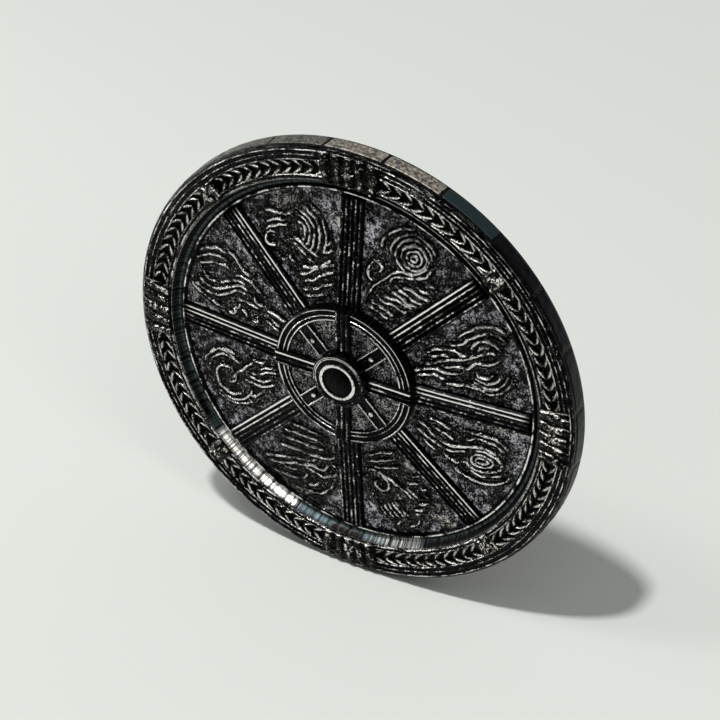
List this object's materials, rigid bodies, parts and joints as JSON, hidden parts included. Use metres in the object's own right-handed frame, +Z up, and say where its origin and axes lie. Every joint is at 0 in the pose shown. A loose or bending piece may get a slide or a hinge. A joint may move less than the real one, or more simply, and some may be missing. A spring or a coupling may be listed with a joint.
{
  "type": "round shield",
  "caption": "Round embossed shield with a fluted spoke field, a raised boss and a laurel rim; its wooden back carries a buckled forearm strap, a hand grip and hanging rings.",
  "frame": {"origin": "on the shield's axis, at the crown of the forearm pad, level with the back edge of the rim", "axes": "+Y out of the back towards the wearer, so the face looks to -Y; +Z up; +X to the wearer's left"},
  "size_m": [0.5994, 0.1388, 0.5994],
  "materials": {
    "board_wood": "oiled",
    "hoop_wood": "oiled",
    "rim_iron": "blackened, worn",
    "polished_iron": "polished",
    "edge_plate_iron": "blackened, worn",
    "laurel_bronze": "dark patina",
    "plaque_bronze": "dark patina",
    "panel_iron": "embossed, patina",
    "rib_iron": "dark patina",
    "hub_iron": "blackened, worn",
    "boss_steel": "polished",
    "boss_cap": "glossy black lacquer",
    "lining_leather": "suede side out",
    "pad_leather": "satin",
    "strap_leather": "waxed",
    "forged_iron": "forged, dark"
  },
  "bodies": {
    "root": {"core_board": "board_wood", "rim_hoop": "hoop_wood", "rim_shell": "rim_iron", "step_ring": "polished_iron", "bead_ring": "rib_iron", "edge_plates": "edge_plate_iron", "laurel_1": "laurel_bronze", "laurel_2": "laurel_bronze", "laurel_3": "laurel_bronze", "laurel_4": "laurel_bronze", "laurel_5": "laurel_bronze", "laurel_6": "laurel_bronze", "laurel_7": "laurel_bronze", "laurel_8": "laurel_bronze", "plaque_1": "plaque_bronze", "plaque_2": "plaque_bronze", "plaque_3": "plaque_bronze", "plaque_4": "plaque_bronze", "plaque_5": "plaque_bronze", "plaque_6": "plaque_bronze", "plaque_7": "plaque_bronze", "plaque_8": "plaque_bronze", "field_panel_1": "panel_iron", "field_panel_2": "panel_iron", "field_panel_3": "panel_iron", "field_panel_4": "panel_iron", "field_panel_5": "panel_iron", "field_panel_6": "panel_iron", "field_panel_7": "panel_iron", "field_panel_8": "panel_iron", "rib_1": "rib_iron", "rib_2": "rib_iron", "rib_3": "rib_iron", "rib_4": "rib_iron", "rib_5": "rib_iron", "rib_6": "rib_iron", "rib_7": "rib_iron", "rib_8": "rib_iron", "inner_ring": "hub_iron", "hub_plate": "hub_iron", "hub_ribs": "rib_iron", "hub_straps": "hub_iron", "hub_studs": "boss_cap", "boss_collar": "boss_steel", "boss_ring": "boss_steel", "boss_dome": "boss_cap", "back_lining": "lining_leather", "arm_pad": "pad_leather", "forearm_strap": "strap_leather", "buckle_strap": "strap_leather", "strap_keeper": "strap_leather", "hand_strap": "strap_leather", "hand_grip": "pad_leather", "strap_nails": "forged_iron", "ring_staples": "forged_iron"},
    "ring_left": {"hanging_ring_left": "forged_iron"},
    "ring_right": {"hanging_ring_right": "forged_iron"},
    "buckle_frame": {"buckle_frame": "forged_iron"},
    "buckle_prong": {"buckle_prong": "forged_iron"}
  },
  "joints": [
    {"name": "ring_left_swing", "type": "hinge", "parent": "root", "child": "ring_left", "pos_m": [0.128, -0.0005, 0.128], "axis": [1, 0, 0], "range_deg": [-5, 150]},
    {"name": "ring_right_swing", "type": "hinge", "parent": "root", "child": "ring_right", "pos_m": [-0.128, -0.0005, 0.128], "axis": [1, 0, 0], "range_deg": [-5, 150]},
    {"name": "buckle_frame_swing", "type": "hinge", "parent": "root", "child": "buckle_frame", "pos_m": [0.076, 0.07106, 0.004], "axis": [1, 0, 0], "range_deg": [0, 12]},
    {"name": "buckle_prong_swing", "type": "hinge", "parent": "buckle_frame", "child": "buckle_prong", "pos_m": [0.076, 0.07106, 0.004], "axis": [1, 0, 0], "range_deg": [0, 75]}
  ]
}
